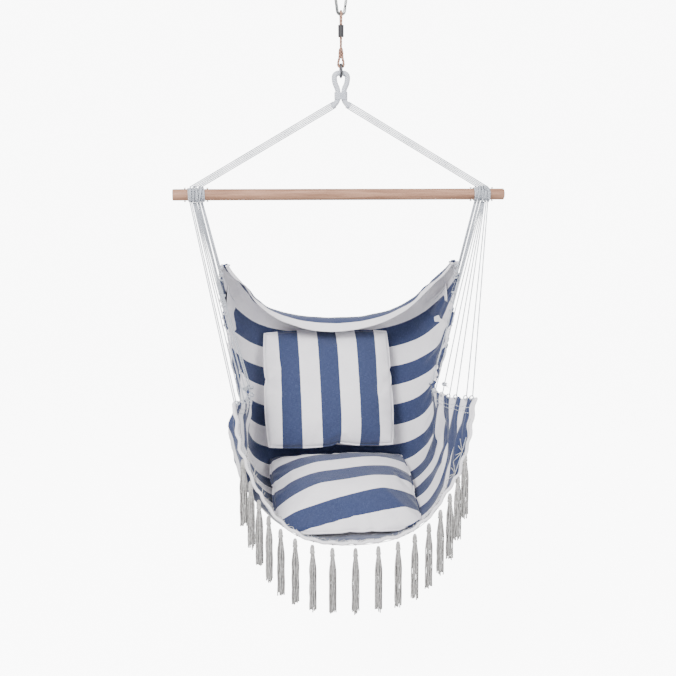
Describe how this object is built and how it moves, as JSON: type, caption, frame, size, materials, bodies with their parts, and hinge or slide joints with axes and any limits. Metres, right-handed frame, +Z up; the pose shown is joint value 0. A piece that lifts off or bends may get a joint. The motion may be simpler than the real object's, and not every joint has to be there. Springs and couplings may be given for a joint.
{
  "type": "hanging hammock chair",
  "caption": "Striped cotton hammock chair hung by cords from a wooden spreader bar, with cushions, fringe tassels, rope strop and carabiner.",
  "frame": {"origin": "inner top crown of the carabiner, where a hook or eye bolt carries the chair", "axes": "+Z up, the sitter faces -Y, +X along the spreader bar to the sitter's left"},
  "size_m": [1, 0.6158, 1.8061],
  "materials": {
    "steel": "satin zinc",
    "dark_steel": "dark oxide",
    "tan_rope": "twisted three-strand rope",
    "black_plastic": "shrunk-on sleeve",
    "white_cord": "braided cotton cord",
    "light_wood": "sanded, unvarnished",
    "striped_cotton": "woven cotton with blue and off-white stripes",
    "plain_cotton": "plain weave",
    "filling": "fibre wadding",
    "tassel_yarn": "loose cotton yarn"
  },
  "bodies": {
    "carabiner": {"carabiner_body": "steel", "gate_pin": "steel"},
    "gate": {"carabiner_gate": "steel", "gate_spring": "steel"},
    "strop": {"strop_eye": "tan_rope", "strop_sleeve": "black_plastic"},
    "strop_lower": {"strop_rope": "tan_rope"},
    "link": {"link_ring": "steel"},
    "crosspiece": {"hanging_loop": "white_cord", "loop_whipping": "white_cord", "upper_cords_left": "white_cord", "upper_cords_right": "white_cord", "spreader_bar": "light_wood", "stop_pins": "dark_steel", "bar_hitch_left": "white_cord", "bar_hitch_right": "white_cord"},
    "seat": {"hammock_cloth": "striped_cotton", "back_pocket": "plain_cotton", "arm_knot_left": "white_cord", "arm_knot_right": "white_cord", "fringe_cord": "white_cord", "seat_cord_left_1": "white_cord", "seat_cord_left_2": "white_cord", "seat_cord_left_3": "white_cord", "seat_cord_left_4": "white_cord", "seat_cord_left_5": "white_cord", "seat_cord_left_6": "white_cord", "seat_cord_left_7": "white_cord", "seat_cord_left_8": "white_cord", "seat_cord_left_9": "white_cord", "seat_cord_right_1": "white_cord", "seat_cord_right_2": "white_cord", "seat_cord_right_3": "white_cord", "seat_cord_right_4": "white_cord", "seat_cord_right_5": "white_cord", "seat_cord_right_6": "white_cord", "seat_cord_right_7": "white_cord", "seat_cord_right_8": "white_cord", "seat_cord_right_9": "white_cord"},
    "back_cushion": {"back_cushion_cover": "striped_cotton", "back_cushion_filling": "filling"},
    "seat_cushion": {"seat_cushion_cover": "striped_cotton", "seat_cushion_filling": "filling"},
    "tassel_01_body": {"tassel_01": "tassel_yarn"},
    "tassel_02_body": {"tassel_02": "tassel_yarn"},
    "tassel_03_body": {"tassel_03": "tassel_yarn"},
    "tassel_04_body": {"tassel_04": "tassel_yarn"},
    "tassel_05_body": {"tassel_05": "tassel_yarn"},
    "tassel_06_body": {"tassel_06": "tassel_yarn"},
    "tassel_07_body": {"tassel_07": "tassel_yarn"},
    "tassel_08_body": {"tassel_08": "tassel_yarn"},
    "tassel_09_body": {"tassel_09": "tassel_yarn"},
    "tassel_10_body": {"tassel_10": "tassel_yarn"},
    "tassel_11_body": {"tassel_11": "tassel_yarn"},
    "tassel_12_body": {"tassel_12": "tassel_yarn"},
    "tassel_13_body": {"tassel_13": "tassel_yarn"},
    "tassel_14_body": {"tassel_14": "tassel_yarn"},
    "tassel_15_body": {"tassel_15": "tassel_yarn"},
    "tassel_16_body": {"tassel_16": "tassel_yarn"},
    "tassel_17_body": {"tassel_17": "tassel_yarn"}
  },
  "joints": [
    {"name": "gate_hinge", "type": "hinge", "parent": "carabiner", "child": "gate", "pos_m": [0.0128, 0, -0.06259], "axis": [0, -1, 0], "range_deg": [0, 22], "stiffness_Nm_per_rad": 0.6, "springref_deg": -17.19},
    {"name": "strop_swing", "type": "hinge", "parent": "carabiner", "child": "strop", "pos_m": [0, 0, -0.0865], "axis": [1, 0, 0], "range_deg": [-35, 35]},
    {"name": "chair_spin", "type": "hinge", "parent": "strop", "child": "strop_lower", "pos_m": [0, 0, -0.1514], "axis": [0, 0, 1], "range_deg": [-180, 180], "stiffness_Nm_per_rad": 0.05},
    {"name": "link_swing", "type": "hinge", "parent": "strop_lower", "child": "link", "pos_m": [0, 0, -0.2295], "axis": [0, 1, 0], "range_deg": [-25, 25]},
    {"name": "loop_swing", "type": "hinge", "parent": "link", "child": "crosspiece", "pos_m": [0, 0, -0.25435], "axis": [1, 0, 0], "range_deg": [-25, 25]},
    {"name": "seat_pitch", "type": "hinge", "parent": "crosspiece", "child": "seat", "pos_m": [0, 0, -0.61], "axis": [1, 0, 0], "range_deg": [-12, 12]},
    {"name": "seat_cushion_out", "type": "slide", "parent": "seat", "child": "seat_cushion", "axis": [0, -0.9397, 0.342], "range_m": [0, 0.05]},
    {"name": "back_cushion_out", "type": "slide", "parent": "seat_cushion", "child": "back_cushion", "axis": [0, -0.9703, -0.2419], "range_m": [0, 0.05]},
    {"name": "tassel_01_swing", "type": "hinge", "parent": "seat", "child": "tassel_01_body", "pos_m": [-0.31182, -0.32706, -1.33054], "axis": [-1, 0, 0], "range_deg": [-2, 30]},
    {"name": "tassel_02_swing", "type": "hinge", "parent": "seat", "child": "tassel_02_body", "pos_m": [-0.29248, -0.32771, -1.39361], "axis": [-1, 0, 0], "range_deg": [-2, 30]},
    {"name": "tassel_03_swing", "type": "hinge", "parent": "seat", "child": "tassel_03_body", "pos_m": [-0.27077, -0.32858, -1.44835], "axis": [-1, 0, 0], "range_deg": [-2, 30]},
    {"name": "tassel_04_swing", "type": "hinge", "parent": "seat", "child": "tassel_04_body", "pos_m": [-0.24484, -0.32963, -1.49531], "axis": [-1, 0, 0], "range_deg": [-2, 30]},
    {"name": "tassel_05_swing", "type": "hinge", "parent": "seat", "child": "tassel_05_body", "pos_m": [-0.21184, -0.33082, -1.5337], "axis": [-1, 0, 0], "range_deg": [-2, 30]},
    {"name": "tassel_06_swing", "type": "hinge", "parent": "seat", "child": "tassel_06_body", "pos_m": [-0.17117, -0.33214, -1.56306], "axis": [-1, 0, 0], "range_deg": [-2, 30]},
    {"name": "tassel_07_swing", "type": "hinge", "parent": "seat", "child": "tassel_07_body", "pos_m": [-0.12264, -0.33354, -1.5831], "axis": [-1, 0, 0], "range_deg": [-2, 30]},
    {"name": "tassel_08_swing", "type": "hinge", "parent": "seat", "child": "tassel_08_body", "pos_m": [-0.06584, -0.335, -1.59418], "axis": [-1, 0, 0], "range_deg": [-2, 30]},
    {"name": "tassel_09_swing", "type": "hinge", "parent": "seat", "child": "tassel_09_body", "pos_m": [0, -0.3365, -1.5971], "axis": [-1, 0, 0], "range_deg": [-2, 30]},
    {"name": "tassel_10_swing", "type": "hinge", "parent": "seat", "child": "tassel_10_body", "pos_m": [0.06584, -0.335, -1.59418], "axis": [-1, 0, 0], "range_deg": [-2, 30]},
    {"name": "tassel_11_swing", "type": "hinge", "parent": "seat", "child": "tassel_11_body", "pos_m": [0.12264, -0.33354, -1.5831], "axis": [-1, 0, 0], "range_deg": [-2, 30]},
    {"name": "tassel_12_swing", "type": "hinge", "parent": "seat", "child": "tassel_12_body", "pos_m": [0.17117, -0.33214, -1.56306], "axis": [-1, 0, 0], "range_deg": [-2, 30]},
    {"name": "tassel_13_swing", "type": "hinge", "parent": "seat", "child": "tassel_13_body", "pos_m": [0.21184, -0.33082, -1.5337], "axis": [-1, 0, 0], "range_deg": [-2, 30]},
    {"name": "tassel_14_swing", "type": "hinge", "parent": "seat", "child": "tassel_14_body", "pos_m": [0.24484, -0.32963, -1.49531], "axis": [-1, 0, 0], "range_deg": [-2, 30]},
    {"name": "tassel_15_swing", "type": "hinge", "parent": "seat", "child": "tassel_15_body", "pos_m": [0.27077, -0.32858, -1.44835], "axis": [-1, 0, 0], "range_deg": [-2, 30]},
    {"name": "tassel_16_swing", "type": "hinge", "parent": "seat", "child": "tassel_16_body", "pos_m": [0.29248, -0.32771, -1.39361], "axis": [-1, 0, 0], "range_deg": [-2, 30]},
    {"name": "tassel_17_swing", "type": "hinge", "parent": "seat", "child": "tassel_17_body", "pos_m": [0.31182, -0.32706, -1.33054], "axis": [-1, 0, 0], "range_deg": [-2, 30]}
  ]
}
